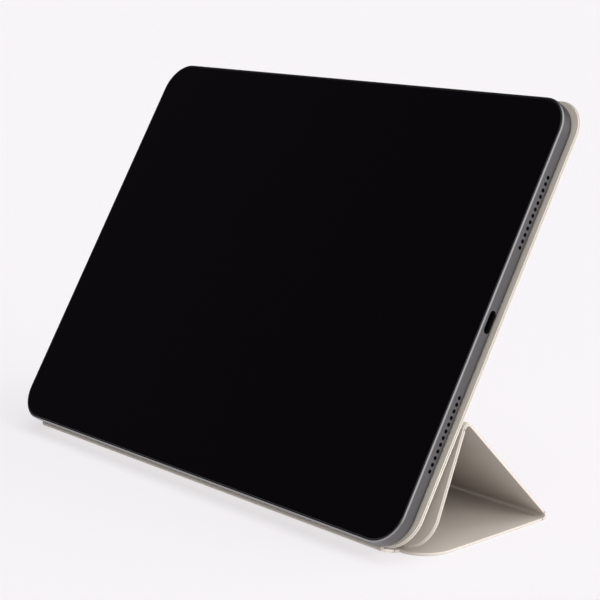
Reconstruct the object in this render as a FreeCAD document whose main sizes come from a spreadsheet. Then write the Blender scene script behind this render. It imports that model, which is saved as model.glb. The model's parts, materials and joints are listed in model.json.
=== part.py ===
import FreeCAD, Part
import math
import os
import types
import Sketcher

# A folio case for a tablet, standing open as a viewing stand with the tablet in it.
# X runs along the long edge, Y to the back, Z up, and the table is the plane Z = 0.
# Each panel is modelled flat: x along the fold lines, y away from the fold it hangs on,
# z towards the outer skin. Its placement then turns it into the standing position.

DRIVING_SIZES = [
    ("tablet_width", 247.6, "tablet, along its long edge"),
    ("tablet_height", 178.5, "tablet, along its short edge"),
    ("tablet_thick", 6.1, "tablet, front to back"),
    ("tablet_corner", 13.0, "radius of the tablet's corners"),
    ("housing_wall", 1.6, "side wall of the tablet housing"),
    ("housing_floor", 0.8, "back wall of the tablet housing"),
    ("back_round", 1.4, "rounded edge round the back of the housing"),
    ("front_bevel", 0.45, "polished bevel round the front of the housing"),
    ("glass_inset", 0.9, "from the housing's side to the edge of the glass"),
    ("glass_thick", 0.8, "cover glass"),
    ("glass_round", 0.25, "rounded edge of the cover glass"),
    ("seal_thick", 0.1, "adhesive seal under the glass"),
    ("screen_border", 8.8, "black border round the picture area"),
    ("screen_thick", 1.5, "display panel"),
    ("hole_radius", 0.8, "speaker hole"),
    ("hole_pitch", 2.59, "from one speaker hole to the next"),
    ("hole_count", 12, "speaker holes in a group"),
    ("hole_start", 30.9, "bottom edge of the tablet to the first hole of the lower group"),
    ("hole_depth", 3.2, "front glass to the middle of the holes, the port and the buttons"),
    ("port_long", 9.0, "charging port opening, long way"),
    ("port_short", 3.2, "charging port opening, short way"),
    ("camera_radius", 6.0, "rear camera window"),
    ("camera_thick", 0.7, "rear camera window"),
    ("camera_deep", 2.9, "rear camera, behind its window"),
    ("camera_edge", 19.0, "rear camera, from the tablet's side and from its top"),
    ("front_camera_radius", 1.7, "front camera, behind the glass"),
    ("front_camera_edge", 5.2, "front camera, from the tablet's top"),
    ("cutout_radius", 9.6, "camera opening in the rear panel"),
    ("ring_wall", 0.8, "wall of the ring that trims the camera opening"),
    ("power_long", 9.0, "power button"),
    ("power_along", 155.2, "bottom edge of the tablet to the middle of the power button"),
    ("volume_long", 9.0, "each volume button"),
    ("volume_edge", 38.0, "tablet's left side to the middle of the two volume buttons"),
    ("volume_pitch", 12.0, "from one volume button to the next"),
    ("button_short", 2.2, "width of every button"),
    ("button_proud", 0.45, "button above the housing's side"),
    ("button_round", 0.25, "rounded edge of a button's cap"),
    ("button_play", 0.06, "gap round a button in its opening"),
    ("button_travel", 0.3, "how far a button presses in"),
    ("flange_thick", 0.8, "flange that keeps a button in"),
    ("flange_edge", 0.6, "flange beyond the button all round"),
    ("pen_long", 52.0, "charging strip for a pen, along the tablet's top"),
    ("pen_high", 2.6, "charging strip for a pen, front to back"),
    ("pen_deep", 0.5, "charging strip for a pen, into the housing's side"),
    ("panel_width", 252.0, "case panels, along the fold lines"),
    ("panel_corner", 13.5, "radius of the panels' outer corners"),
    ("fold_corner", 1.2, "radius of the panels' corners at a fold line"),
    ("skin_thick", 0.3, "outer skin, and its turned edge"),
    ("board_thick", 0.45, "stiff board in a panel"),
    ("lining_thick", 0.5, "microfibre lining with its backing"),
    ("lining_inset", 0.3, "skin edge to lining edge"),
    ("soft_edge", 0.2, "rounded edges of skin and lining"),
    ("slip", 0.05, "gap between pieces that drop into one another"),
    ("spine_width", 226.0, "spine, between the rounded corners"),
    ("tablet_gap", 0.2, "tablet to rear panel, and tablet to spine"),
    ("cover_gap", 0.3, "glass to closed cover, and free edge to base panel"),
    ("rear_reach", 181.0, "spine's root fold to the top of the rear panel"),
    ("base_reach", 67.0, "front fold to rear fold"),
    ("prop_reach", 64.2, "rear fold to apex fold"),
    ("end_reach", 50.2, "apex fold to the free edge"),
    ("root_gap", 1.3, "root fold to the panel edges beside it"),
    ("front_gap", 1.2, "front fold to the panel edges beside it"),
    ("rear_gap", 3.4, "rear fold to the panel edges beside it"),
    ("apex_gap", 3.2, "apex fold to the panel edges beside it"),
    ("crease_radius", 0.35, "core of the flexible strip on a fold line"),
    ("crease_end", 1.0, "end of a crease's core to the end of its fold"),
    ("lean_angle", 57.75, "tablet to the table, in degrees"),
    ("front_height", 7.6, "table to the tablet's lower front edge"),
    ("apex_offset", 1.65, "rear panel to the apex fold line"),
    ("magnet_long", 16.0, "magnet, along the fold lines"),
    ("magnet_deep", 4.0, "magnet, across the fold lines"),
    ("magnet_count", 8, "magnets in a row"),
    ("magnet_pitch", 25.5, "from one magnet to the next"),
    ("tablet_magnet_thick", 1.2, "magnet inside the tablet"),
    ("upper_magnets", 30.0, "top of the rear panel to its upper magnets"),
    ("lower_magnets", 14.0, "lower edge of the rear panel to its lower magnets' far side"),
    ("front_magnets", 6.0, "front edge of the base panel to its magnets"),
    ("end_magnets", 10.0, "free edge of the end panel to its magnets' far side"),
]

X_AXIS = FreeCAD.Vector(1, 0, 0)
Y_AXIS = FreeCAD.Vector(0, 1, 0)
Z_AXIS = FreeCAD.Vector(0, 0, 1)


def make_sheet(doc):
    sheet = doc.addObject("Spreadsheet::Sheet", "Sizes")
    for row, (alias, value, meaning) in enumerate(DRIVING_SIZES, start=1):
        sheet.set(f"A{row}", meaning)
        sheet.set(f"B{row}", str(value))
        sheet.setAlias(f"B{row}", alias)
    doc.recompute()
    return sheet


doc = FreeCAD.newDocument("tablet_folio")
sheet = make_sheet(doc)


class Size:
    """A size worked out from the sheet: its value, and the expression that binds to it."""

    def __init__(self, value, text):
        self.value = value
        self.text = text

    def __str__(self):
        return self.text

    def __add__(self, other):
        return Size(self.value + value_of(other), f"({self} + {other})")

    def __radd__(self, other):
        return Size(other + self.value, f"({other} + {self})")

    def __sub__(self, other):
        return Size(self.value - value_of(other), f"({self} - {other})")

    def __rsub__(self, other):
        return Size(other - self.value, f"({other} - {self})")

    def __mul__(self, other):
        return Size(self.value * value_of(other), f"({self} * {other})")

    def __rmul__(self, other):
        return Size(other * self.value, f"({other} * {self})")

    def __truediv__(self, other):
        return Size(self.value / value_of(other), f"({self} / {other})")

    def __neg__(self):
        return 0 - self


def value_of(item):
    """The number that a size stands for; a plain number stands for itself."""
    return item.value if isinstance(item, Size) else item


Sizes = types.SimpleNamespace(**{
    alias: Size(float(sheet.get(alias)), f"Sizes.{alias}") for alias, _, _ in DRIVING_SIZES
})

PANEL_THICK = Sizes.skin_thick + Sizes.board_thick + Sizes.lining_thick
HALF_THICK = PANEL_THICK / 2
TRAY_DEPTH = Sizes.skin_thick + Sizes.board_thick
CUT_LONG = 12       # longer than any wall that a cut goes through
CUT_START = -1      # below the face that a cut starts from


# ---- where the folds are ------------------------------------------------------------

def standing_folds():
    """Fold lines as (y, z), and each panel's direction in degrees, for the open stand."""
    lean = math.radians(Sizes.lean_angle.value)
    up = (math.cos(lean), math.sin(lean))
    back = (math.sin(lean), -math.cos(lean))
    thick = PANEL_THICK.value
    behind = (Sizes.tablet_thick + Sizes.tablet_gap).value
    above = (Sizes.rear_reach - Sizes.tablet_gap - HALF_THICK).value
    soft = Sizes.soft_edge.value

    # the model is centred over the table between the glass's foot and the rear panel's head
    foremost = Sizes.front_bevel.value * up[0]
    rearmost = (behind + thick - soft) * back[0] + above * up[0] + soft * (back[0] - up[0]) / 2
    corner = (-(foremost + rearmost) / 2, Sizes.front_height.value)

    def at(along, depth):
        y = corner[0] + along * up[0] + depth * back[0]
        z = corner[1] + along * up[1] + depth * back[1]
        return (y, z)

    root = at(-Sizes.tablet_gap.value - thick / 2, behind + thick / 2)
    reach = thick + behind + Sizes.cover_gap.value
    dip = math.asin((root[1] - thick / 2) / reach)
    front = (root[0] + reach * math.cos(dip), thick / 2)
    rear = (front[0] + Sizes.base_reach.value, thick / 2)

    # the apex is on a line parallel to the rear panel, and prop_reach from the rear fold
    foot = at(0, behind + thick + Sizes.apex_offset.value)
    gap = (foot[0] - rear[0], foot[1] - rear[1])
    middle = gap[0] * up[0] + gap[1] * up[1]
    square = middle ** 2 - gap[0] ** 2 - gap[1] ** 2 + Sizes.prop_reach.value ** 2
    climb = math.sqrt(square) - middle
    apex = (foot[0] + climb * up[0], foot[1] + climb * up[1])
    prop = math.degrees(math.atan2(apex[1] - rear[1], apex[0] - rear[0]))

    # the free edge comes down to just above the base panel
    reach = Sizes.end_reach.value
    drop = apex[1] - thick - Sizes.cover_gap.value
    end = math.asin(drop / math.hypot(reach, thick / 2)) - math.atan2(thick / 2, reach)

    points = {"corner": corner, "root": root, "front": front, "rear": rear, "apex": apex}
    angles = {
        "rear": Sizes.lean_angle.value - 180,
        "spine": -math.degrees(dip),
        "base": 0,
        "prop": prop,
        "end": math.degrees(end) + 180,
    }
    return points, angles


FOLDS, ANGLES = standing_folds()


def frame_at(point, angle):
    turn = FreeCAD.Rotation(X_AXIS, angle)
    return FreeCAD.Placement(FreeCAD.Vector(0, point[0], point[1]), turn)


def lift(frame, x=0, y=0, z=0):
    """A frame moved along its own axes."""
    place = FreeCAD.Vector(value_of(x), value_of(y), value_of(z))
    return frame * FreeCAD.Placement(place, FreeCAD.Rotation())


# x along the long edge, y up the screen from the lower edge, z to the front from the back
TABLET = lift(frame_at(FOLDS["corner"], Sizes.lean_angle.value), z=-Sizes.tablet_thick)


# ---- general helpers ----------------------------------------------------------------

def new_body(label):
    body = doc.addObject("PartDesign::Body", label)
    body.Label = label
    return body


def origin_part(body, role):
    for item in body.Origin.OriginFeatures:
        if item.Role == role:
            return item
    raise ValueError(role)


def bind(item, **sizes):
    for name, size in sizes.items():
        item.setExpression(name.replace("__", "."), str(size))


def rounded_outline(body, name, width, length, near, far, start=0, level=0):
    """A sketch of a rectangle with round corners, from y = start, at the height level.

    near is the radius of the two corners at the lowest y, far that of the other two."""
    sketch = body.newObject("Sketcher::SketchObject", name)
    sketch.AttachmentSupport = [(origin_part(body, "XY_Plane"), "")]
    sketch.MapMode = "FlatFace"
    bind(sketch, AttachmentOffset__Base__z=level)
    half = value_of(width) / 2
    low = value_of(start)
    high = low + value_of(length)
    corners = [
        (half, low, value_of(near), -90), (half, high, value_of(far), 0),
        (-half, high, value_of(far), 90), (-half, low, value_of(near), 180),
    ]
    arcs = [corner_arc(*corner) for corner in corners]
    for index, arc in enumerate(arcs):
        following = arcs[(index + 1) % 4]
        sketch.addGeometry(arc, False)
        sketch.addGeometry(Part.LineSegment(arc.EndPoint, following.StartPoint), False)
    for index in range(8):
        following = (index + 1) % 8
        sketch.addConstraint(Sketcher.Constraint("Tangent", index, 2, following, 1))
    for kind, side in (("Vertical", 1), ("Horizontal", 3), ("Vertical", 5), ("Horizontal", 7)):
        sketch.addConstraint(Sketcher.Constraint(kind, side))
    named = [
        ("near_right", Sketcher.Constraint("Radius", 0, value_of(near)), near),
        ("far_right", Sketcher.Constraint("Radius", 2, value_of(far)), far),
        ("far_left", Sketcher.Constraint("Radius", 4, value_of(far)), far),
        ("near_left", Sketcher.Constraint("Radius", 6, value_of(near)), near),
        ("width", Sketcher.Constraint("DistanceX", 5, 1, 1, 1, 2 * half), width),
        ("left", Sketcher.Constraint("DistanceX", 5, 1, -1, 1, half), width / 2),
        ("length", Sketcher.Constraint("DistanceY", 7, 1, 3, 1, high - low), length),
        ("start", Sketcher.Constraint("DistanceY", -1, 1, 7, 1, low), start),
    ]
    for label, constraint, size in named:
        index = sketch.addConstraint(constraint)
        sketch.renameConstraint(index, label)
        sketch.setExpression(f"Constraints.{label}", str(size))
    return sketch


def corner_arc(x, y, radius, turn):
    """A quarter circle that rounds the corner at (x, y), starting at the angle turn."""
    inwards = {-90: (-1, 1), 0: (-1, -1), 90: (1, -1), 180: (1, 1)}[turn]
    centre = FreeCAD.Vector(x + inwards[0] * radius, y + inwards[1] * radius, 0)
    circle = Part.Circle(centre, Z_AXIS, radius)
    return Part.ArcOfCircle(circle, math.radians(turn), math.radians(turn + 90))


def pad(body, name, width, length, thick, near, far, start=0, level=0):
    """A slab with round corners, added to a body."""
    made = body.newObject("PartDesign::Pad", name)
    outline = name + "_outline"
    made.Profile = rounded_outline(body, outline, width, length, near, far, start, level)
    bind(made, Length=thick)
    doc.recompute()
    return made


def plate(label, width, length, thick, near, far):
    """A flat plate with its own radii at the near and the far corners."""
    body = new_body(label)
    return body, pad(body, label + "_pad", width, length, thick, near, far)


def level_edges(shape, level):
    """The names of the edges that lie flat at one height."""
    names = []
    for index, edge in enumerate(shape.Edges, start=1):
        box = edge.BoundBox
        if abs(box.ZMin - level) < 1e-4 and abs(box.ZMax - level) < 1e-4:
            names.append(f"Edge{index}")
    return names


def soften(body, base, level, radius, name="soft_edges"):
    """Round every edge that lies flat at one height."""
    fillet = body.newObject("PartDesign::Fillet", name)
    fillet.Base = (base, level_edges(base.Shape, value_of(level)))
    bind(fillet, Radius=radius)
    doc.recompute()
    return fillet


def box(body, kind, name, lengths, corner):
    """A block that is added to a body or cut from it, from its lowest corner."""
    block = body.newObject(f"PartDesign::{kind}Box", name)
    bind(block, Length=lengths[0], Width=lengths[1], Height=lengths[2])
    bind(block, Placement__Base__x=corner[0], Placement__Base__y=corner[1],
         Placement__Base__z=corner[2])
    doc.recompute()
    return block


BAR_TURNS = {
    "x": FreeCAD.Rotation(Y_AXIS, 90),
    "y": FreeCAD.Rotation(X_AXIS, -90),
    "z": FreeCAD.Rotation(),
}


def bar(body, kind, name, radius, length, start, along="z"):
    """A round bar that is added to a body or cut from it."""
    made = body.newObject(f"PartDesign::{kind}Cylinder", name)
    made.Placement = FreeCAD.Placement(FreeCAD.Vector(), BAR_TURNS[along])
    bind(made, Radius=radius, Height=length)
    bind(made, Placement__Base__x=start[0], Placement__Base__y=start[1],
         Placement__Base__z=start[2])
    doc.recompute()
    return made


def repeat(body, original, role, length, count):
    pattern = body.newObject("PartDesign::LinearPattern", original.Name + "_row")
    pattern.Originals = [original]
    pattern.Direction = (origin_part(body, role), [""])
    bind(pattern, Length=length, Occurrences=count)
    body.Tip = pattern
    doc.recompute()
    return pattern


def magnet_row(body, kind, name, thick, y, z, play=0):
    """A row of flat magnets, or of the pockets that they lie in."""
    span = (Sizes.magnet_count - 1) * Sizes.magnet_pitch
    lengths = (Sizes.magnet_long + 2 * play, Sizes.magnet_deep + 2 * play, thick)
    x = -(span + Sizes.magnet_long) / 2 - play
    first = box(body, kind, name, lengths, (x, y - play, z))
    return repeat(body, first, "X_Axis", span, Sizes.magnet_count)


# ---- case panels --------------------------------------------------------------------

PANELS = {
    "rear": {
        "fold": "root", "width": Sizes.panel_width, "start": -Sizes.rear_reach,
        "length": Sizes.rear_reach - Sizes.root_gap,
        "near": Sizes.panel_corner, "far": Sizes.panel_corner,
        "magnets": {
            "rear_upper_magnets": Sizes.upper_magnets,
            "rear_lower_magnets": Sizes.rear_reach - Sizes.root_gap - Sizes.lower_magnets,
        },
    },
    "spine": {
        "fold": "root", "width": Sizes.spine_width, "start": Sizes.root_gap,
        "length": (PANEL_THICK + Sizes.tablet_thick + Sizes.tablet_gap + Sizes.cover_gap
                   - Sizes.root_gap - Sizes.front_gap),
        "near": Sizes.fold_corner, "far": Sizes.fold_corner,
        "magnets": {},
    },
    "base": {
        "fold": "front", "width": Sizes.panel_width, "start": Sizes.front_gap,
        "length": Sizes.base_reach - Sizes.front_gap - Sizes.rear_gap,
        "near": Sizes.panel_corner, "far": Sizes.fold_corner,
        "magnets": {"base_magnets": Sizes.front_magnets},
    },
    "prop": {
        "fold": "rear", "width": Sizes.panel_width, "start": Sizes.rear_gap,
        "length": Sizes.prop_reach - Sizes.rear_gap - Sizes.apex_gap,
        "near": Sizes.fold_corner, "far": Sizes.fold_corner,
        "magnets": {},
    },
    "end": {
        "fold": "apex", "width": Sizes.panel_width, "start": Sizes.apex_gap,
        "length": Sizes.end_reach - Sizes.apex_gap,
        "near": Sizes.fold_corner, "far": Sizes.panel_corner,
        "magnets": {"end_magnets": Sizes.end_reach - Sizes.apex_gap - Sizes.end_magnets},
    },
}
CREASES = {
    "root": Sizes.spine_width,
    "front": Sizes.spine_width,
    "rear": Sizes.panel_width,
    "apex": Sizes.panel_width,
}

CAMERA_X = -(Sizes.tablet_width / 2 - Sizes.camera_edge)
TABLET_TOP = Sizes.rear_reach - Sizes.tablet_gap - HALF_THICK - Sizes.tablet_height


def panel_frame(name):
    """The panel's own frame, on its fold line, with z = 0 at the middle of its thickness."""
    return frame_at(FOLDS[PANELS[name]["fold"]], ANGLES[name])


def layer(name, kind, thick, inset, height):
    """One flat layer of a panel: inset from the panel's outline, with its low face at height."""
    panel = PANELS[name]
    body, tip = plate(
        f"{name}_{kind}", panel["width"] - 2 * inset, panel["length"] - 2 * inset, thick,
        panel["near"] - inset, panel["far"] - inset,
    )
    body.Placement = lift(panel_frame(name), y=panel["start"] + inset, z=height)
    return body, tip


def cut_camera_hole(body, radius, inset):
    """The camera opening in the rear panel, through a layer that is inset from its outline."""
    y = TABLET_TOP + Sizes.camera_edge - inset
    name = body.Name + "_camera_hole"
    return bar(body, "Subtractive", name, radius, CUT_LONG, (CAMERA_X, y, CUT_START))


def panel_skin(name):
    """A shallow tray: the outer skin with its edge turned over the board."""
    body, tip = layer(name, "skin", TRAY_DEPTH, 0, HALF_THICK - TRAY_DEPTH)
    if name == "rear":
        tip = cut_camera_hole(body, Sizes.cutout_radius, 0)
    faces = enumerate(tip.Shape.Faces, start=1)
    open_side = [f"Face{index}" for index, face in faces if face.BoundBox.ZMax < 1e-6]
    tray = body.newObject("PartDesign::Thickness", name + "_turned_edge")
    tray.Base = (tip, open_side)
    tray.Reversed = True
    tray.Join = 1
    bind(tray, Value=Sizes.skin_thick)
    doc.recompute()
    soften(body, tray, TRAY_DEPTH, Sizes.soft_edge)
    return body


def panel_board(name):
    """The stiff board, with a row of pockets for magnets where the panel has them."""
    inset = Sizes.skin_thick + Sizes.slip
    body, _ = layer(name, "board", Sizes.board_thick, inset, HALF_THICK - TRAY_DEPTH)
    if name == "rear":
        cut_camera_hole(body, Sizes.cutout_radius + inset, inset)
    for label, row in PANELS[name]["magnets"].items():
        magnet_row(body, "Subtractive", label + "_pocket", CUT_LONG, row - inset, CUT_START,
                   play=Sizes.slip)
    return body


def panel_magnets(name, label, row):
    """A row of flat magnets, each in its pocket in the board."""
    body = new_body(label)
    magnet_row(body, "Additive", label + "_first", Sizes.board_thick - Sizes.slip, row, 0)
    start = PANELS[name]["start"]
    body.Placement = lift(panel_frame(name), y=start, z=HALF_THICK - TRAY_DEPTH)
    return body


def panel_lining(name):
    """The microfibre lining, on the side that meets the tablet when the cover is closed."""
    inset = Sizes.lining_inset
    body, tip = layer(name, "lining", Sizes.lining_thick, inset, -HALF_THICK)
    if name == "rear":
        tip = cut_camera_hole(body, Sizes.cutout_radius + inset, inset)
    soften(body, tip, 0, Sizes.soft_edge)
    return body


def crease(fold, width):
    """The core of the flexible strip on one fold line."""
    body = new_body(fold + "_crease")
    length = width - 2 * Sizes.crease_end
    bar(body, "Additive", fold + "_core", Sizes.crease_radius, length, (-length / 2, 0, 0), "x")
    body.Placement = frame_at(FOLDS[fold], 0)
    return body


def camera_ring():
    """The ring that trims the camera opening, from the skin to the lining."""
    body = new_body("camera_ring")
    outer = Sizes.cutout_radius - Sizes.slip
    bar(body, "Additive", "ring_outside", outer, PANEL_THICK, (CAMERA_X, 0, 0))
    inner = Sizes.cutout_radius - Sizes.ring_wall
    bar(body, "Subtractive", "ring_inside", inner, CUT_LONG, (CAMERA_X, 0, CUT_START))
    along = TABLET_TOP + Sizes.camera_edge - Sizes.rear_reach
    body.Placement = lift(panel_frame("rear"), y=along, z=-HALF_THICK)
    return body


def make_case():
    bodies = []
    for name, panel in PANELS.items():
        bodies.extend([panel_skin(name), panel_board(name), panel_lining(name)])
        bodies.extend(panel_magnets(name, label, row) for label, row in panel["magnets"].items())
    bodies.extend(crease(fold, width) for fold, width in CREASES.items())
    bodies.append(camera_ring())
    return bodies


# ---- tablet: housing and glass ------------------------------------------------------

HALF_WIDTH = Sizes.tablet_width / 2
HOLE_HEIGHT = Sizes.tablet_thick - Sizes.hole_depth
GLASS_BACK = Sizes.tablet_thick - Sizes.glass_thick
CAMERA_Y = Sizes.tablet_height - Sizes.camera_edge
PORT_MIDDLE = Sizes.tablet_height / 2
SPEAKER_SPAN = (Sizes.hole_count - 1) * Sizes.hole_pitch
GROUP_STARTS = {
    "lower": Sizes.hole_start,
    "upper": Sizes.tablet_height - Sizes.hole_start - SPEAKER_SPAN,
}
SIDES = {"left": -1, "right": 1}
VOLUME_MIDDLE = Sizes.volume_edge - HALF_WIDTH
VOLUME_ALONG = {
    "volume_up_button": VOLUME_MIDDLE - Sizes.volume_pitch / 2,
    "volume_down_button": VOLUME_MIDDLE + Sizes.volume_pitch / 2,
}
SIDE_CUT = 6        # how long a cut through the housing's side is, half of it outside


def in_tablet(body):
    body.Placement = TABLET
    return body


def inset_plate(label, inset, thick, height):
    """A plate with the tablet's outline, inset all round, with its low face at height."""
    corner = Sizes.tablet_corner - inset
    body, tip = plate(label, Sizes.tablet_width - 2 * inset, Sizes.tablet_height - 2 * inset,
                      thick, corner, corner)
    body.Placement = lift(TABLET, y=inset, z=height)
    return body, tip


def hollow(body, name, inset, floor, start=None):
    """A pocket with the tablet's outline, inset all round, cut to the front from floor."""
    corner = Sizes.tablet_corner - inset
    before = body.Shape.Volume
    pocket = body.newObject("PartDesign::Pocket", name)
    pocket.Profile = rounded_outline(
        body, name + "_outline",
        Sizes.tablet_width - 2 * inset, Sizes.tablet_height - 2 * inset,
        corner, corner, inset if start is None else start, floor,
    )
    pocket.Reversed = True
    bind(pocket, Length=CUT_LONG)
    doc.recompute()
    if pocket.Shape.isNull() or pocket.Shape.Volume > before - 1:
        raise RuntimeError(name + " cut nothing")
    return pocket


def bevel_front(body, base):
    chamfer = body.newObject("PartDesign::Chamfer", "front_bevel")
    chamfer.Base = (base, level_edges(base.Shape, Sizes.tablet_thick.value))
    bind(chamfer, Size=Sizes.front_bevel)
    doc.recompute()


def cut_speaker_holes(body):
    for side, sign in SIDES.items():
        for group, start in GROUP_STARTS.items():
            x = sign * HALF_WIDTH - SIDE_CUT / 2
            hole = bar(body, "Subtractive", f"{side}_{group}_hole", Sizes.hole_radius, SIDE_CUT,
                       (x, start, HOLE_HEIGHT), "x")
            repeat(body, hole, "Y_Axis", SPEAKER_SPAN, Sizes.hole_count)


def cut_slot(body, name, side, middle, long, short):
    """An opening with round ends through one side of the housing."""
    flat = long - short
    low = HOLE_HEIGHT - short / 2
    if side == "top":
        y = Sizes.tablet_height - SIDE_CUT / 2
        box(body, "Subtractive", name, (flat, SIDE_CUT, short), (middle - flat / 2, y, low))
        ends = [(middle - flat / 2, y, HOLE_HEIGHT), (middle + flat / 2, y, HOLE_HEIGHT)]
    else:
        x = SIDES[side] * HALF_WIDTH - SIDE_CUT / 2
        box(body, "Subtractive", name, (SIDE_CUT, flat, short), (x, middle - flat / 2, low))
        ends = [(x, middle - flat / 2, HOLE_HEIGHT), (x, middle + flat / 2, HOLE_HEIGHT)]
    for index, end in enumerate(ends):
        direction = "y" if side == "top" else "x"
        bar(body, "Subtractive", f"{name}_end_{index}", short / 2, SIDE_CUT, end, direction)


def cut_openings(body):
    """The openings for the charging port and for the three buttons."""
    cut_slot(body, "port_opening", "right", PORT_MIDDLE, Sizes.port_long, Sizes.port_short)
    play = 2 * Sizes.button_play
    short = Sizes.button_short + play
    cut_slot(body, "power_opening", "left", Sizes.power_along, Sizes.power_long + play, short)
    for name, middle in VOLUME_ALONG.items():
        cut_slot(body, name + "_opening", "top", middle, Sizes.volume_long + play, short)


def cut_pen_seat(body):
    """The shallow seat of the pen's charging strip, in the top side."""
    lengths = (Sizes.pen_long + 2 * Sizes.slip, SIDE_CUT / 2, Sizes.pen_high + 2 * Sizes.slip)
    corner = (-lengths[0] / 2, Sizes.tablet_height - Sizes.pen_deep - Sizes.slip,
              HOLE_HEIGHT - lengths[2] / 2)
    box(body, "Subtractive", "pen_strip_seat", lengths, corner)


def housing():
    body, tip = plate(
        "tablet_housing", Sizes.tablet_width, Sizes.tablet_height, Sizes.tablet_thick,
        Sizes.tablet_corner, Sizes.tablet_corner,
    )
    bevel_front(body, soften(body, tip, 0, Sizes.back_round, "back_edge"))
    hollow(body, "inner_space", Sizes.housing_wall, Sizes.housing_floor)
    hollow(body, "glass_seat", Sizes.glass_inset - Sizes.slip, GLASS_BACK - Sizes.seal_thick)
    cut_speaker_holes(body)
    cut_openings(body)
    cut_pen_seat(body)
    window = Sizes.camera_radius + Sizes.slip
    bar(body, "Subtractive", "camera_window", window, SIDE_CUT, (CAMERA_X, CAMERA_Y, CUT_START))
    return in_tablet(body)


def cover_glass():
    body, tip = inset_plate("cover_glass", Sizes.glass_inset, Sizes.glass_thick, GLASS_BACK)
    soften(body, tip, Sizes.glass_thick, Sizes.glass_round)
    return body


def glass_seal():
    """The thin adhesive frame between the glass and the ledge that it sits on."""
    inset = Sizes.glass_inset + Sizes.seal_thick
    height = GLASS_BACK - Sizes.seal_thick
    body, _ = inset_plate("glass_seal", inset, Sizes.seal_thick, height)
    hollow(body, "seal_opening", Sizes.housing_wall, 0, Sizes.housing_wall - inset)
    return body


# ---- tablet: inner pieces -----------------------------------------------------------

INNER_FLOOR = Sizes.housing_floor
INNER_LOW = 34                  # battery and logic board above the tablet's lower edge
CELL = (78, 108, 2.2)
CELL_LEFTS = (-84, 6)
LOGIC_BOARD = (16, 108, 1.2)
LOGIC_LEFT = 90
SPEAKER_MARGIN = 1.5            # speaker and mesh past the first and the last hole
SPEAKER = (10, SPEAKER_SPAN + 2 * SPEAKER_MARGIN, 2.2)
SPEAKER_EDGE = 6.6              # inside of the housing's wall to a speaker's middle
MESH = (0.3, SPEAKER_SPAN + 2 * SPEAKER_MARGIN, 2.4)
MESH_EDGE = 0.2                 # inside of the housing's wall to a mesh's middle
POWER_SWITCH = (2, 6, 2)
VOLUME_SWITCH = (5, 2, 2)
SWITCH_GAP = 0.1                # behind a button that is pressed all the way
PORT_SHELL = (7, 10.2, 3.8)
PORT_MOUTH = (6.5, 9.0, 3.2)
PORT_TONGUE = (5.8, 6.8, 0.7)
PORT_BACK = 0.6                 # back wall of the port's shell
TONGUE_ROOT = 0.2               # how far the tongue is set into that wall
CAMERA_PLAY = 0.2               # rear camera inside its window's radius
FRONT_CAMERA_DEEP = 2.0


def blocks(label, *boxes):
    """Separate plain blocks in the tablet: each is its size and its lowest corner."""
    body = new_body(label)
    for index, (lengths, corner) in enumerate(boxes):
        box(body, "Additive", f"{label}_{index}", lengths, corner)
    return in_tablet(body)


def display_panel():
    border = Sizes.screen_border
    lengths = (Sizes.tablet_width - 2 * border, Sizes.tablet_height - 2 * border,
               Sizes.screen_thick)
    return blocks("display_panel", (lengths, (border - HALF_WIDTH, border,
                                              GLASS_BACK - Sizes.screen_thick)))


def battery_and_board():
    cells = [(CELL, (left, INNER_LOW, INNER_FLOOR)) for left in CELL_LEFTS]
    board = (LOGIC_BOARD, (LOGIC_LEFT, INNER_LOW, INNER_FLOOR))
    return [blocks("battery_cells", *cells), blocks("logic_board", board)]


def speakers():
    modules = []
    meshes = []
    inside = HALF_WIDTH - Sizes.housing_wall
    for sign in SIDES.values():
        for start in GROUP_STARTS.values():
            low = start - SPEAKER_MARGIN
            x = sign * (inside - SPEAKER_EDGE) - SPEAKER[0] / 2
            modules.append((SPEAKER, (x, low, INNER_FLOOR)))
            x = sign * (inside - MESH_EDGE) - MESH[0] / 2
            meshes.append((MESH, (x, low, HOLE_HEIGHT - MESH[2] / 2)))
    return [blocks("speakers", *modules), blocks("speaker_meshes", *meshes)]


BUTTON_DEPTH = Sizes.housing_wall + Sizes.slip + Sizes.flange_thick
SWITCH_DEPTH = BUTTON_DEPTH + Sizes.button_travel + SWITCH_GAP


def switches():
    """The switches behind the buttons."""
    low = HOLE_HEIGHT - POWER_SWITCH[2] / 2
    power = (SWITCH_DEPTH - HALF_WIDTH, Sizes.power_along - POWER_SWITCH[1] / 2, low)
    y = Sizes.tablet_height - SWITCH_DEPTH - VOLUME_SWITCH[1]
    volume = [
        (VOLUME_SWITCH, (middle - VOLUME_SWITCH[0] / 2, y, low))
        for middle in VOLUME_ALONG.values()
    ]
    return [blocks("power_switch", (POWER_SWITCH, power)), blocks("volume_switches", *volume)]


def pen_charging_strip():
    lengths = (Sizes.pen_long, Sizes.pen_deep, Sizes.pen_high)
    corner = (-Sizes.pen_long / 2, Sizes.tablet_height - Sizes.pen_deep,
              HOLE_HEIGHT - Sizes.pen_high / 2)
    return blocks("pen_charging_strip", (lengths, corner))


def tablet_magnets(label, row):
    """Magnets inside the tablet, opposite one of the rear panel's rows."""
    body = new_body(label)
    y = Sizes.rear_reach - Sizes.tablet_gap - HALF_THICK - row - Sizes.magnet_deep
    magnet_row(body, "Additive", label + "_first", Sizes.tablet_magnet_thick, y, INNER_FLOOR)
    return in_tablet(body)


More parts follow.
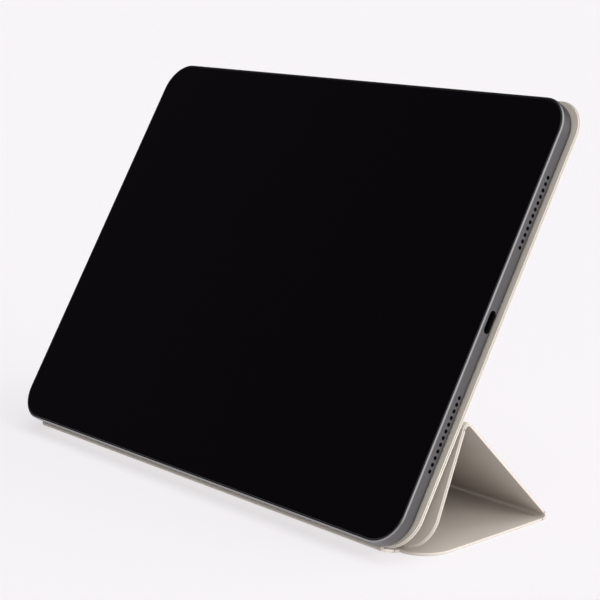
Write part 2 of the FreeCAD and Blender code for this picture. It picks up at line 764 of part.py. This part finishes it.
def charging_port():
    """The port's metal shell, a box with an open mouth, and the tongue inside it."""
    body = new_body("charging_port")
    back = HALF_WIDTH - Sizes.housing_wall - PORT_SHELL[0]
    pieces = [
        ("Additive", "port_shell", PORT_SHELL, back),
        ("Subtractive", "port_mouth", PORT_MOUTH, back + PORT_BACK),
        ("Additive", "port_tongue", PORT_TONGUE, back + PORT_BACK - TONGUE_ROOT),
    ]
    for kind, name, lengths, x in pieces:
        corner = (x, PORT_MIDDLE - lengths[1] / 2, HOLE_HEIGHT - lengths[2] / 2)
        box(body, kind, name, lengths, corner)
    return in_tablet(body)


def cameras():
    """The rear camera, its window flush with the back of the housing, and the front camera."""
    barrel = new_body("rear_camera")
    place = (CAMERA_X, CAMERA_Y, Sizes.camera_thick)
    bar(barrel, "Additive", "camera_barrel", Sizes.camera_radius - CAMERA_PLAY,
        Sizes.camera_deep, place)
    window = new_body("rear_camera_lens")
    bar(window, "Additive", "camera_glass", Sizes.camera_radius, Sizes.camera_thick,
        (CAMERA_X, CAMERA_Y, 0))
    front = new_body("front_camera")
    place = (0, Sizes.tablet_height - Sizes.front_camera_edge, GLASS_BACK - FRONT_CAMERA_DEEP)
    bar(front, "Additive", "front_barrel", Sizes.front_camera_radius, FRONT_CAMERA_DEEP, place)
    return [in_tablet(body) for body in (barrel, window, front)]


# ---- tablet: buttons ----------------------------------------------------------------

# a button is modelled flat: x along it, y across it, z out of the tablet's side
BUTTON_TURNS = {
    "left": FreeCAD.Rotation(Y_AXIS, -Z_AXIS, -X_AXIS, "ZXY"),
    "top": FreeCAD.Rotation(X_AXIS, -Z_AXIS, Y_AXIS, "ZXY"),
}


def button(label, side, middle, long):
    """A button: a cap through the housing's wall, and a flange inside that keeps it in."""
    body = new_body(label)
    short = Sizes.button_short
    edge = Sizes.flange_edge
    corner = short / 2 - Sizes.slip
    pad(body, label + "_flange", long + 2 * edge, short + 2 * edge, Sizes.flange_thick,
        corner, corner)
    height = Sizes.slip + Sizes.housing_wall + Sizes.button_proud
    cap = pad(body, label + "_cap", long, short, height, corner, corner, edge,
              Sizes.flange_thick)
    soften(body, cap, Sizes.flange_thick + height, Sizes.button_round)
    if side == "left":
        place = (BUTTON_DEPTH - HALF_WIDTH, middle, HOLE_HEIGHT)
    else:
        place = (middle, Sizes.tablet_height - BUTTON_DEPTH, HOLE_HEIGHT)
    turn = FreeCAD.Placement(FreeCAD.Vector(), BUTTON_TURNS[side])
    body.Placement = lift(lift(TABLET, *place) * turn, y=-(short / 2 + edge))
    return body


def make_tablet():
    bodies = [housing(), cover_glass(), glass_seal(), display_panel()]
    bodies.extend([*battery_and_board(), *speakers(), *switches(), pen_charging_strip()])
    for label, row in PANELS["rear"]["magnets"].items():
        bodies.append(tablet_magnets(label.replace("rear", "tablet"), row))
    bodies.extend([charging_port(), *cameras()])
    bodies.append(button("power_button", "left", Sizes.power_along, Sizes.power_long))
    for name, middle in VOLUME_ALONG.items():
        bodies.append(button(name, "top", middle, Sizes.volume_long))
    return bodies


# ---- checks and files ---------------------------------------------------------------

def check(bodies):
    for item in doc.Objects:
        if {"Invalid", "Error"} & set(item.State):
            raise RuntimeError(f"{item.Label} failed: {item.State}")
    for body in bodies:
        shape = body.Shape
        if shape.isNull() or not shape.isValid() or not shape.Solids:
            raise RuntimeError(f"{body.Label} has no valid solid")


def export(bodies):
    os.makedirs("parts", exist_ok=True)
    for body in bodies:
        body.Shape.exportStep(f"parts/{body.Label}.step")


def main():
    bodies = make_case() + make_tablet()
    doc.recompute()
    check(bodies)
    export(bodies)
    for name, (y, z) in FOLDS.items():
        print(f"fold {name} {y:.4f} {z:.4f}")
    for name, angle in ANGLES.items():
        print(f"angle {name} {angle:.4f}")
    whole = Part.makeCompound([body.Shape for body in bodies]).BoundBox
    print("box", [round(value, 3) for value in (whole.XMin, whole.XMax, whole.YMin,
                                                whole.YMax, whole.ZMin, whole.ZMax)])
    print(len(bodies), "nodes")


main()
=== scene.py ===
import json
import math

import bmesh
import bpy
from mathutils import Matrix, Vector

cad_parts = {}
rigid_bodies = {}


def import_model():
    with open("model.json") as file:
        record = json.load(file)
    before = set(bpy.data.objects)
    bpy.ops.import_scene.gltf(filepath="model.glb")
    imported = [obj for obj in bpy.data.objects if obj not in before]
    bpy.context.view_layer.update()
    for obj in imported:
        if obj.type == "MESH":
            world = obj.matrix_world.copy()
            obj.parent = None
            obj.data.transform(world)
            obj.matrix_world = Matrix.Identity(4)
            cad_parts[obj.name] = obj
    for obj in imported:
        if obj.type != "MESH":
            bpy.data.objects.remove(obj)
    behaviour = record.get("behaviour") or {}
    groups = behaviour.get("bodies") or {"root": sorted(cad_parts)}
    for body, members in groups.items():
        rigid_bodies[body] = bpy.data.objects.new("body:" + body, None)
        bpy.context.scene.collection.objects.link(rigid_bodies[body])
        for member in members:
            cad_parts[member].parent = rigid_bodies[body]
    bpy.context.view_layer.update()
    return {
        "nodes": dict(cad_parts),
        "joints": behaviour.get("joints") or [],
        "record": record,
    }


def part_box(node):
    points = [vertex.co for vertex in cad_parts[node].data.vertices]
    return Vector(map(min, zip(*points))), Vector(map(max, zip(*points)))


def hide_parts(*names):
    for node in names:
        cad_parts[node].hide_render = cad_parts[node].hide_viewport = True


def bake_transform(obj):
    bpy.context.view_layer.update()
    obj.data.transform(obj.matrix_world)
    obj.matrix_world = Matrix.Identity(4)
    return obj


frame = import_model()

MM = 0.001
JOINTS = {joint["name"]: joint for joint in frame["joints"]}

# ---- camera and stage -----------------------------------------------------------------

CAMERA_PLACE = Vector((0.5738, -0.4673, 0.23486))
CAMERA_TURN = 50.01          # degrees from looking along +Y, towards -X
CAMERA_PITCH = 10.64         # degrees below the horizon
CAMERA_ROLL = -1.42
CAMERA_LENS = 109.5          # mm, on a 36 mm sensor
CAMERA_SHIFT = -0.1013
CAMERA_FAR = 50.0

FLOOR_HALF = 12.0
BACKDROP = (0.93, 0.905, 0.93, 1.0)


def make_camera():
    data = bpy.data.cameras.new("camera")
    data.lens = CAMERA_LENS
    data.shift_y = CAMERA_SHIFT
    data.clip_end = CAMERA_FAR
    camera = bpy.data.objects.new("camera", data)
    bpy.context.scene.collection.objects.link(camera)
    turn = Matrix.Rotation(math.radians(CAMERA_TURN), 4, "Z")
    tilt = Matrix.Rotation(math.radians(90 - CAMERA_PITCH), 4, "X")
    roll = Matrix.Rotation(math.radians(CAMERA_ROLL), 4, "Z")
    camera.matrix_world = Matrix.Translation(CAMERA_PLACE) @ turn @ tilt @ roll
    bpy.context.scene.camera = camera


def link_mesh(name, mesh):
    piece = bpy.data.objects.new(name, mesh)
    bpy.context.scene.collection.objects.link(piece)
    return piece


def make_floor(material):
    mesh = bpy.data.meshes.new("floor")
    corners = [(x * FLOOR_HALF, y * FLOOR_HALF, 0) for x, y in ((-1, -1), (1, -1), (1, 1), (-1, 1))]
    mesh.from_pydata(corners, [], [(0, 1, 2, 3)])
    mesh.materials.append(material)
    floor = link_mesh("floor", mesh)


# ---- materials ------------------------------------------------------------------------

class Nodes:
    """A small helper that adds nodes to one material and joins them."""

    def __init__(self, name):
        self.material = bpy.data.materials.new(name)
        self.material.use_nodes = True
        self.tree = self.material.node_tree
        self.shader = self.tree.nodes["Principled BSDF"]

    def node(self, kind, **values):
        made = self.tree.nodes.new("ShaderNode" + kind)
        for name, value in values.items():
            setattr(made, name, value)
        return made

    def join(self, source, target):
        self.tree.links.new(source, target)

    def place(self):
        return self.node("TexCoord").outputs["Object"]

    def noise(self, scale, detail=2.0, roughness=0.5):
        made = self.node("TexNoise")
        made.inputs["Scale"].default_value = scale
        made.inputs["Detail"].default_value = detail
        made.inputs["Roughness"].default_value = roughness
        self.join(self.place(), made.inputs["Vector"])
        return made.outputs["Fac"]

    def cells(self, scale):
        made = self.node("TexVoronoi", feature="F1")
        made.inputs["Scale"].default_value = scale
        self.join(self.place(), made.inputs["Vector"])
        return made.outputs["Distance"]

    def span(self, source, low, high):
        """Spread a 0 to 1 texture value between low and high."""
        made = self.node("MapRange")
        made.inputs["To Min"].default_value = low
        made.inputs["To Max"].default_value = high
        self.join(source, made.inputs["Value"])
        return made.outputs["Result"]

    def blend_colours(self, source, first, second):
        made = self.node("Mix", data_type="RGBA")
        made.inputs["A"].default_value = (*first, 1.0)
        made.inputs["B"].default_value = (*second, 1.0)
        self.join(source, made.inputs["Factor"])
        self.join(made.outputs["Result"], self.shader.inputs["Base Color"])

    def bump(self, heights, strength, distance):
        """Bumps from several (texture value, share) pairs added together."""
        total = None
        for source, share in heights:
            part = self.node("Math", operation="MULTIPLY")
            part.inputs[1].default_value = share
            self.join(source, part.inputs[0])
            if total is None:
                total = part.outputs[0]
                continue
            both = self.node("Math", operation="ADD")
            self.join(total, both.inputs[0])
            self.join(part.outputs[0], both.inputs[1])
            total = both.outputs[0]
        made = self.node("Bump")
        made.inputs["Strength"].default_value = strength
        made.inputs["Distance"].default_value = distance
        self.join(total, made.inputs["Height"])
        self.join(made.outputs["Normal"], self.shader.inputs["Normal"])

    def rough(self, source, low, high):
        self.join(self.span(source, low, high), self.shader.inputs["Roughness"])

    def set(self, **values):
        for name, value in values.items():
            self.shader.inputs[name.replace("_", " ")].default_value = value


def skin_material():
    """Matt polyurethane skin with a fine pebbled grain."""
    made = Nodes("skin")
    made.blend_colours(made.noise(35.0, 3.0), (0.52, 0.475, 0.425), (0.56, 0.515, 0.465))
    made.rough(made.noise(220.0, 2.0), 0.50, 0.62)
    made.bump([(made.cells(1700.0), 0.7), (made.noise(4200.0, 2.0), 0.3)], 0.30, 0.05 * MM)
    made.set(Specular_IOR_Level=0.35)
    return made.material


def lining_material():
    """Microfibre with a short nap that lies in soft patches."""
    made = Nodes("lining")
    made.blend_colours(made.noise(70.0, 4.0, 0.6), (0.50, 0.46, 0.405), (0.565, 0.525, 0.47))
    made.rough(made.noise(900.0, 2.0), 0.86, 0.98)
    made.bump([(made.noise(5200.0, 4.0, 0.7), 0.7), (made.noise(420.0, 2.0), 0.3)], 0.45, 0.08 * MM)
    made.set(Specular_IOR_Level=0.15, Sheen_Weight=0.25, Sheen_Roughness=0.5)
    return made.material


def aluminium_material(name, tone, rough_low, rough_high, grain):
    made = Nodes(name)
    lighter = tuple(value * 1.06 for value in tone)
    made.blend_colours(made.noise(60.0, 2.0), tone, lighter)
    made.rough(made.noise(1500.0, 2.0), rough_low, rough_high)
    made.bump([(made.noise(9000.0, 2.0), 1.0)], grain, 0.01 * MM)
    made.set(Metallic=1.0)
    return made.material


def gloss_material(name, tone, rough_low, rough_high):
    """Smooth glass or plastic, with only faint smears in its gloss."""
    made = Nodes(name)
    lighter = tuple(value * 1.15 for value in tone)
    made.blend_colours(made.noise(25.0, 2.0), tone, lighter)
    made.rough(made.noise(18.0, 3.0, 0.6), rough_low, rough_high)
    return made


def matt_material(name, tone, roughness=0.6, grain=0.2, scale=2500.0):
    made = Nodes(name)
    lighter = tuple(value * 1.12 for value in tone)
    made.blend_colours(made.noise(120.0, 2.0), tone, lighter)
    made.rough(made.noise(600.0, 2.0), roughness - 0.06, roughness + 0.06)
    made.bump([(made.noise(scale, 3.0), 1.0)], grain, 0.04 * MM)
    return made.material


def floor_material():
    made = Nodes("floor")
    made.blend_colours(made.noise(3.0), (0.26, 0.253, 0.26), (0.262, 0.255, 0.262))
    made.set(Roughness=1.0, Specular_IOR_Level=0.0)
    made.set(Emission_Color=BACKDROP, Emission_Strength=0.72)
    return made.material


def make_materials():
    glass = gloss_material("glass", (0.0020, 0.0012, 0.0020), 0.03, 0.06)
    glass.set(IOR=1.33)
    glass_edge = gloss_material("glass_edge", (0.02, 0.02, 0.022), 0.10, 0.16)
    glass_edge.set(IOR=1.5, Specular_IOR_Level=1.0)
    lens = gloss_material("lens", (0.004, 0.004, 0.006), 0.02, 0.04)
    display = gloss_material("display", (0.01, 0.01, 0.01), 0.20, 0.30)
    return {
        "skin": skin_material(),
        "lining": lining_material(),
        "board": matt_material("board", (0.28, 0.25, 0.21), 0.8, 0.4),
        "magnet": aluminium_material("magnet", (0.40, 0.40, 0.41), 0.28, 0.36, 0.1),
        "ring": matt_material("ring", (0.62, 0.57, 0.49), 0.45, 0.1),
        "housing": aluminium_material("housing", (0.145, 0.140, 0.145), 0.34, 0.40, 0.12),
        "bevel": aluminium_material("bevel", (0.30, 0.295, 0.30), 0.14, 0.20, 0.02),
        "glass_edge": glass_edge.material,
        "glass": glass.material,
        "lens": lens.material,
        "display": display.material,
        "battery": matt_material("battery", (0.02, 0.02, 0.022), 0.4, 0.15, 900.0),
        "circuit": matt_material("circuit", (0.006, 0.02, 0.010), 0.35, 0.25, 1400.0),
        "module": matt_material("module", (0.012, 0.012, 0.012), 0.5, 0.1),
        "metal": aluminium_material("metal", (0.10, 0.10, 0.105), 0.30, 0.40, 0.1),
        "seal": matt_material("seal", (0.01, 0.01, 0.01), 0.8, 0.1),
        "strip": matt_material("strip", (0.12, 0.12, 0.125), 0.3, 0.05),
    }


def finish_cad_nodes(materials):
    """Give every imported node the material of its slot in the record."""
    slots = {part["node"]: part["material_slot"] for part in frame["record"]["subparts"]}
    for name, piece in frame["nodes"].items():
        piece.data.materials.clear()
        piece.data.materials.append(materials[slots[name]])


# Node: its edge's material, the least and the most that an edge face looks to the front
# (as a cosine), and how deep the edge reaches below the front.
FRONT_EDGES = {
    "tablet_housing": ("bevel", 0.5, 0.9, 0.5 * MM),
    "cover_glass": ("glass_edge", 0.15, 0.97, 0.3 * MM),
}


def finish_front_edges(materials):
    """A second material on the faces that slope round the front of the tablet's pieces."""
    front = Vector((1, 0, 0)).cross(Vector(JOINTS["tablet_slide"]["axis"]))
    for node, (material, least, most, depth) in FRONT_EDGES.items():
        mesh = frame["nodes"][node].data
        mesh.materials.append(materials[material])
        level = max(vertex.co.dot(front) for vertex in mesh.vertices)
        for face in mesh.polygons:
            sloping = least < face.normal.dot(front) < most
            if sloping and face.center.dot(front) > level - depth:
                face.material_index = 1


# ---- crease strips, built in one bent shape -------------------------------------------

SKIN_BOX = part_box("base_skin")
LINING_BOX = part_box("base_lining")
SKIN_FACE = SKIN_BOX[1].z / 2                   # middle of a panel to the face of its skin
SKIN_FOOT = LINING_BOX[1].z - SKIN_FACE         # and to the joint of skin and lining
SIDE_STEP = SKIN_BOX[1].x - LINING_BOX[1].x     # lining inside the skin's outline
EDGE_ROUND = 0.2 * MM
CREASE_DIP = 0.05 * MM       # how far a crease lies below the panels' faces
CREASE_LAP = 0.02 * MM       # how far a crease reaches into the panels
LEAST_BEND = 0.1 * MM        # tightest radius on the inside of a crease
STRAIGHT_STEPS = 4
BEND_STEPS = 16

# Fold: its joint, the panel that it is as wide as, the gap from the fold line to the
# panels, and the radius of the bend through the middle of the strip.
CREASES = {
    "root": ("cover_fold", "spine_skin", 1.3 * MM, 0.5 * MM),
    "front": ("front_fold", "spine_skin", 1.2 * MM, 2.0 * MM),
    "rear": ("rear_fold", "base_skin", 3.4 * MM, 1.4 * MM),
    "apex": ("apex_fold", "base_skin", 3.2 * MM, 2.0 * MM),
}


def pivot(name):
    return Vector(JOINTS[name]["pos_m"])


def heading(direction):
    """The angle of a direction in the Y-Z plane."""
    return math.atan2(direction.z, direction.y)


def along(angle):
    return Vector((0, math.cos(angle), math.sin(angle)))


def across(angle):
    """From a panel's lining to its skin, square to its direction."""
    return Vector((0, -math.sin(angle), math.cos(angle)))


def panel_headings():
    rise = Vector(JOINTS["tablet_slide"]["axis"])
    prop = heading(pivot("apex_fold") - pivot("rear_fold"))
    return {
        "rear_panel": heading(-rise),
        "spine": heading(pivot("front_fold") - pivot("cover_fold")),
        "base_panel": 0.0,
        "prop_panel": prop,
        "end_panel": prop + math.radians(JOINTS["apex_fold"]["range_deg"][1]),
    }


class Crease:
    """The strip between two panels, bent round an arc that is tangent to both."""

    def __init__(self, joint, half_width, gap, bend_radius, headings):
        self.joint = JOINTS[joint]
        self.first = self.joint["parent"]
        self.second = self.joint["child"]
        self.half_width = half_width
        self.gap = gap
        self.radius = bend_radius
        self.start_angle = headings[self.first]
        self.bend = (headings[self.second] - self.start_angle) % math.tau
        self.fold = pivot(joint)
        self.tangent = self.radius * math.tan(self.bend / 2)
        self.centre = self.point_before(-self.tangent, self.radius)

    def point_before(self, distance, level):
        """A point beside the fold on the first panel's side, at a level above its middle."""
        return self.fold + distance * along(self.start_angle) + level * across(self.start_angle)

    def point_after(self, distance, level):
        angle = self.start_angle + self.bend
        return self.fold + distance * along(angle) + level * across(angle)

    def point_in_bend(self, share, level):
        angle = self.start_angle + share * self.bend
        return self.centre - (self.radius - level) * across(angle)

    def line(self, reach, end_level, fold_level, trim=0.0):
        """One face of the strip as a row of points, from the first panel to the second."""
        points = []
        for step in range(STRAIGHT_STEPS):
            share = step / STRAIGHT_STEPS
            ease = share * share * (3 - 2 * share)
            level = end_level + (fold_level - end_level) * ease - trim
            points.append(self.point_before(-reach + share * (reach - self.tangent), level))
        for step in range(BEND_STEPS + 1):
            points.append(self.point_in_bend(step / BEND_STEPS, fold_level - trim))
        for step in range(1, STRAIGHT_STEPS + 1):
            share = step / STRAIGHT_STEPS
            ease = share * share * (3 - 2 * share)
            level = fold_level + (end_level - fold_level) * ease - trim
            points.append(self.point_after(self.tangent + share * (reach - self.tangent), level))
        return points


def strip_mesh(name, stations):
    """A closed strip from stations along X: (x, row of face points, row of foot points)."""
    mesh = bpy.data.meshes.new(name)
    sheet = bmesh.new()
    rings = []
    for x, face, foot in stations:
        ring = [*face, *reversed(foot)]
        rings.append([sheet.verts.new((x, point.y, point.z)) for point in ring])
    count = len(rings[0])
    for ring, following in zip(rings, rings[1:]):
        for index in range(count):
            after = (index + 1) % count
            sheet.faces.new((ring[index], ring[after], following[after], following[index]))
    half = count // 2
    for ring in (rings[0], rings[-1]):
        for index in range(half - 1):
            opposite = count - 1 - index
            sheet.faces.new((ring[index], ring[index + 1], ring[opposite - 1], ring[opposite]))
    bmesh.ops.recalc_face_normals(sheet, faces=sheet.faces)
    for face in sheet.faces:
        face.smooth = True
    sheet.to_mesh(mesh)
    sheet.free()
    return mesh


def end_stations(half_width):
    """Places along X, each with how far the face is drawn in to round the strip's ends."""
    turns = [math.radians(angle) for angle in (0, 30, 60, 90)]
    left = [
        (-half_width + EDGE_ROUND * (1 - math.sin(turn)), EDGE_ROUND * (1 - math.cos(turn)))
        for turn in reversed(turns)
    ]
    right = [(-x, trim) for x, trim in reversed(left)]
    return left + right


def crease_strip(crease, name, layer, material):
    """The skin or the lining of one crease."""
    if layer == "skin":
        side = 1
        reach = crease.gap + CREASE_LAP
        end_level = SKIN_FACE - CREASE_DIP
        fold_level = min(end_level, crease.radius - LEAST_BEND)
        half_width = crease.half_width
    else:
        side = -1
        reach = crease.gap + SIDE_STEP + CREASE_LAP
        end_level = -SKIN_FACE + CREASE_DIP
        fold_level = end_level
        half_width = crease.half_width - SIDE_STEP
    stations = []
    for x, trim in end_stations(half_width):
        face = crease.line(reach, end_level, fold_level, side * trim)
        foot = crease.line(reach, SKIN_FOOT, SKIN_FOOT)
        stations.append((x, face, foot))
    piece = link_mesh(name, strip_mesh(name, stations))
    piece.data.materials.append(material)
    bend_level = fold_level if layer == "skin" else (fold_level + SKIN_FOOT) / 2
    crease.point_in_bend(0, bend_level)
    crease.point_in_bend(1, bend_level)
    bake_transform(piece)
    return piece


def make_creases(materials):
    headings = panel_headings()
    for fold, (joint, panel, gap, bend_radius) in CREASES.items():
        half_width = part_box(panel)[1].x
        crease = Crease(joint, half_width, gap, bend_radius, headings)
        skin = crease_strip(crease, f"{fold}_crease_skin", "skin", materials["skin"])
        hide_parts(f"{fold}_crease")
        crease_strip(crease, f"{fold}_crease_lining", "lining", materials["lining"])


# ---- light ----------------------------------------------------------------------------

BRIGHT_SIDE = Vector((0.84, 0.18, 0.48)).normalized()
DIM_END = (0.05, (0.05, 0.05, 0.05, 1.0))        # place on the ramp, and colour there
BRIGHT_END = (0.85, (1.4, 1.38, 1.4, 1.0))

# Lamp: its strength, its spread in degrees, and the way that it shines.
SUNS = {
    "top_light": (0.7, 60.0, (-0.1, 0.0, -1.0)),
    "side_light": (2.8, 45.0, (-0.96, -0.16, -0.16)),
}


def make_world():
    """A pale backdrop, with a soft bright side for the light and the reflections."""
    world = bpy.data.worlds.new("studio")
    bpy.context.scene.world = world
    world.use_nodes = True
    tree = world.node_tree
    tree.nodes.clear()
    output = tree.nodes.new("ShaderNodeOutputWorld")
    mix = tree.nodes.new("ShaderNodeMixShader")
    path = tree.nodes.new("ShaderNodeLightPath")
    seen = tree.nodes.new("ShaderNodeBackground")
    seen.inputs["Color"].default_value = BACKDROP
    light = tree.nodes.new("ShaderNodeBackground")
    place = tree.nodes.new("ShaderNodeTexCoord")
    facing = tree.nodes.new("ShaderNodeVectorMath")
    facing.operation = "DOT_PRODUCT"
    facing.inputs[1].default_value = BRIGHT_SIDE
    ramp = tree.nodes.new("ShaderNodeValToRGB")
    ramp.color_ramp.interpolation = "EASE"
    for element, (position, colour) in zip(ramp.color_ramp.elements, (DIM_END, BRIGHT_END)):
        element.position = position
        element.color = colour
    tree.links.new(place.outputs["Generated"], facing.inputs[0])
    tree.links.new(facing.outputs["Value"], ramp.inputs["Fac"])
    tree.links.new(ramp.outputs["Color"], light.inputs["Color"])
    tree.links.new(path.outputs["Is Camera Ray"], mix.inputs["Fac"])
    tree.links.new(light.outputs["Background"], mix.inputs[1])
    tree.links.new(seen.outputs["Background"], mix.inputs[2])
    tree.links.new(mix.outputs["Shader"], output.inputs["Surface"])


def make_sun(name, strength, spread, towards):
    data = bpy.data.lights.new(name, "SUN")
    data.energy = strength
    data.angle = math.radians(spread)
    lamp = bpy.data.objects.new(name, data)
    bpy.context.scene.collection.objects.link(lamp)
    lamp.rotation_euler = Vector(towards).to_track_quat("-Z", "Y").to_euler()
    lamp.visible_glossy = False


def make_light():
    make_world()
    for name, (strength, spread, towards) in SUNS.items():
        make_sun(name, strength, spread, towards)


# ---- the scene ------------------------------------------------------------------------


make_camera()
materials = make_materials()
finish_cad_nodes(materials)
finish_front_edges(materials)
make_creases(materials)
make_floor(floor_material())
make_light()
bpy.context.scene.view_settings.view_transform = "Standard"
